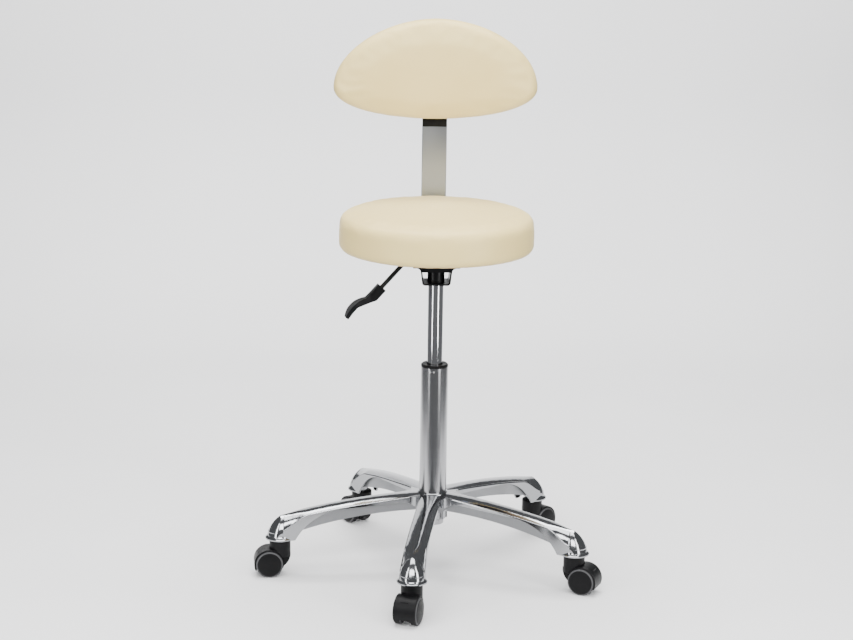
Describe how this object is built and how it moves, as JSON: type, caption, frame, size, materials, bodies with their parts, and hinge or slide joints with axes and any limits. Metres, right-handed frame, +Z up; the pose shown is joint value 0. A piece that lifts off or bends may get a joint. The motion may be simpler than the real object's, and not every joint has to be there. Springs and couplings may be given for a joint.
{
  "type": "dentist stool",
  "caption": "Height-adjustable round stool with an oval backrest, on a star base with swivelling twin-wheel casters.",
  "frame": {"origin": "on the floor, on the column's axis", "axes": "+Z up along the column; the sitter faces -Y and the backrest stands at +Y"},
  "size_m": [0.6373, 0.6379, 1.005],
  "materials": {
    "cast_aluminium": "polished",
    "column_steel": "satin chrome",
    "cylinder_chrome": "polished",
    "rod_chrome": "polished",
    "bar_chrome": "brushed",
    "bearing_steel": "ground",
    "zinc_steel": "zinc plated",
    "black_steel": "semi-gloss powder coat",
    "black_nylon": "fine grain",
    "wheel_black": "satin",
    "black_rubber": "matt",
    "brass_parts": "turned",
    "plywood": "sanded",
    "foam": "open-cell foam",
    "cream_leatherette": "fine grain"
  },
  "bodies": {
    "base": {"star_base": "cast_aluminium", "column_tube": "column_steel", "guide_bush": "black_nylon", "lower_race": "bearing_steel", "caster_stems": "bearing_steel", "stem_rings": "bearing_steel"},
    "spindle": {"piston_rod": "rod_chrome", "rod_clip": "bearing_steel", "ball_cage": "bearing_steel", "upper_race": "bearing_steel", "bumper": "black_rubber", "piston": "cast_aluminium", "piston_seal": "black_rubber"},
    "seat": {"gas_cylinder": "cylinder_chrome", "rod_gland": "black_nylon", "valve_body": "brass_parts", "taper_socket": "black_steel", "socket_bracket": "black_steel", "mount_pan": "black_steel", "bar_guide": "black_steel", "lever_pin": "bearing_steel", "plate_bolts": "zinc_steel", "t_nuts": "zinc_steel", "seat_board": "plywood", "seat_foam": "foam", "seat_cover": "cream_leatherette"},
    "valve_pin": {"release_pin": "bearing_steel"},
    "lever": {"lever_rod": "black_steel", "lever_paddle": "black_nylon"},
    "bar": {"back_bar": "bar_chrome"},
    "bar_clamp": {"depth_knob": "black_nylon"},
    "backrest": {"back_carrier": "black_steel", "carrier_screws": "zinc_steel", "back_board": "plywood", "back_lining": "cream_leatherette", "back_foam": "foam", "back_cover": "cream_leatherette"},
    "backrest_clamp": {"height_knob": "black_nylon"},
    "caster_1": {"caster_1_housing": "black_nylon", "caster_1_axle": "bearing_steel"},
    "caster_1_left": {"caster_1_wheel_left": "wheel_black"},
    "caster_1_right": {"caster_1_wheel_right": "wheel_black"},
    "caster_2": {"caster_2_housing": "black_nylon", "caster_2_axle": "bearing_steel"},
    "caster_2_left": {"caster_2_wheel_left": "wheel_black"},
    "caster_2_right": {"caster_2_wheel_right": "wheel_black"},
    "caster_3": {"caster_3_housing": "black_nylon", "caster_3_axle": "bearing_steel"},
    "caster_3_left": {"caster_3_wheel_left": "wheel_black"},
    "caster_3_right": {"caster_3_wheel_right": "wheel_black"},
    "caster_4": {"caster_4_housing": "black_nylon", "caster_4_axle": "bearing_steel"},
    "caster_4_left": {"caster_4_wheel_left": "wheel_black"},
    "caster_4_right": {"caster_4_wheel_right": "wheel_black"},
    "caster_5": {"caster_5_housing": "black_nylon", "caster_5_axle": "bearing_steel"},
    "caster_5_left": {"caster_5_wheel_left": "wheel_black"},
    "caster_5_right": {"caster_5_wheel_right": "wheel_black"}
  },
  "joints": [
    {"name": "column_swivel", "type": "hinge", "parent": "base", "child": "spindle", "pos_m": [0, 0, 0.099], "axis": [0, 0, 1], "continuous": true},
    {"name": "seat_lift", "type": "slide", "parent": "spindle", "child": "seat", "axis": [0, 0, 1], "range_m": [-0.13, 0.06]},
    {"name": "lever_pull", "type": "hinge", "parent": "seat", "child": "lever", "pos_m": [-0.02934, -0.00624, 0.599], "axis": [-0.2079, 0.9781, 0], "range_deg": [0, 5], "stiffness_Nm_per_rad": 2, "springref_deg": -5.73},
    {"name": "valve_press", "type": "slide", "parent": "seat", "child": "valve_pin", "axis": [0, 0, 1], "range_m": [-0.0035, 0]},
    {"name": "back_depth", "type": "slide", "parent": "seat", "child": "bar", "axis": [0, 1, 0], "range_m": [-0.015, 0.035]},
    {"name": "depth_knob_turn", "type": "hinge", "parent": "seat", "child": "bar_clamp", "pos_m": [0, 0.092, 0.559], "axis": [0, 0, 1], "range_deg": [-180, 180]},
    {"name": "back_height", "type": "slide", "parent": "bar", "child": "backrest", "axis": [0, 0, 1], "range_m": [-0.04, 0.04]},
    {"name": "height_knob_turn", "type": "hinge", "parent": "backrest", "child": "backrest_clamp", "pos_m": [0, 0.21, 0.874], "axis": [0, 1, 0], "range_deg": [-180, 180]},
    {"name": "caster_1_swivel", "type": "hinge", "parent": "base", "child": "caster_1", "pos_m": [0.20103, 0.20244, 0.05], "axis": [0, 0, 1], "continuous": true},
    {"name": "caster_1_roll_left", "type": "hinge", "parent": "caster_1", "child": "caster_1_left", "pos_m": [0.20475, 0.22778, 0.025], "axis": [-0.682, 0.7314, 0], "continuous": true},
    {"name": "caster_1_roll_right", "type": "hinge", "parent": "caster_1", "child": "caster_1_right", "pos_m": [0.22657, 0.20438, 0.025], "axis": [-0.682, 0.7314, 0], "continuous": true},
    {"name": "caster_2_swivel", "type": "hinge", "parent": "base", "child": "caster_2", "pos_m": [-0.13041, 0.25375, 0.05], "axis": [0, 0, 1], "continuous": true},
    {"name": "caster_2_roll_left", "type": "hinge", "parent": "caster_2", "child": "caster_2_left", "pos_m": [-0.15491, 0.26121, 0.025], "axis": [-0.8251, -0.565, 0], "continuous": true},
    {"name": "caster_2_roll_right", "type": "hinge", "parent": "caster_2", "child": "caster_2_right", "pos_m": [-0.12851, 0.27929, 0.025], "axis": [-0.8251, -0.565, 0], "continuous": true},
    {"name": "caster_3_swivel", "type": "hinge", "parent": "base", "child": "caster_3", "pos_m": [-0.28163, -0.04561, 0.05], "axis": [0, 0, 1], "continuous": true},
    {"name": "caster_3_roll_left", "type": "hinge", "parent": "caster_3", "child": "caster_3_left", "pos_m": [-0.30046, -0.06297, 0.025], "axis": [0.0698, -0.9976, 0], "continuous": true},
    {"name": "caster_3_roll_right", "type": "hinge", "parent": "caster_3", "child": "caster_3_right", "pos_m": [-0.3027, -0.03105, 0.025], "axis": [0.0698, -0.9976, 0], "continuous": true},
    {"name": "caster_4_swivel", "type": "hinge", "parent": "base", "child": "caster_4", "pos_m": [-0.04365, -0.28194, 0.05], "axis": [0, 0, 1], "continuous": true},
    {"name": "caster_4_roll_left", "type": "hinge", "parent": "caster_4", "child": "caster_4_left", "pos_m": [-0.03474, -0.30595, 0.025], "axis": [0.9494, -0.314, 0], "continuous": true},
    {"name": "caster_4_roll_right", "type": "hinge", "parent": "caster_4", "child": "caster_4_right", "pos_m": [-0.06512, -0.29591, 0.025], "axis": [0.9494, -0.314, 0], "continuous": true},
    {"name": "caster_5_swivel", "type": "hinge", "parent": "base", "child": "caster_5", "pos_m": [0.25466, -0.12863, 0.05], "axis": [0, 0, 1], "continuous": true},
    {"name": "caster_5_roll_left", "type": "hinge", "parent": "caster_5", "child": "caster_5_left", "pos_m": [0.27943, -0.12215, 0.025], "axis": [0.4067, 0.9135, 0], "continuous": true},
    {"name": "caster_5_roll_right", "type": "hinge", "parent": "caster_5", "child": "caster_5_right", "pos_m": [0.26642, -0.15139, 0.025], "axis": [0.4067, 0.9135, 0], "continuous": true}
  ],
  "couplings": [
    {"joint": "valve_press", "follows": "lever_pull", "m_per_rad": -0.032}
  ]
}
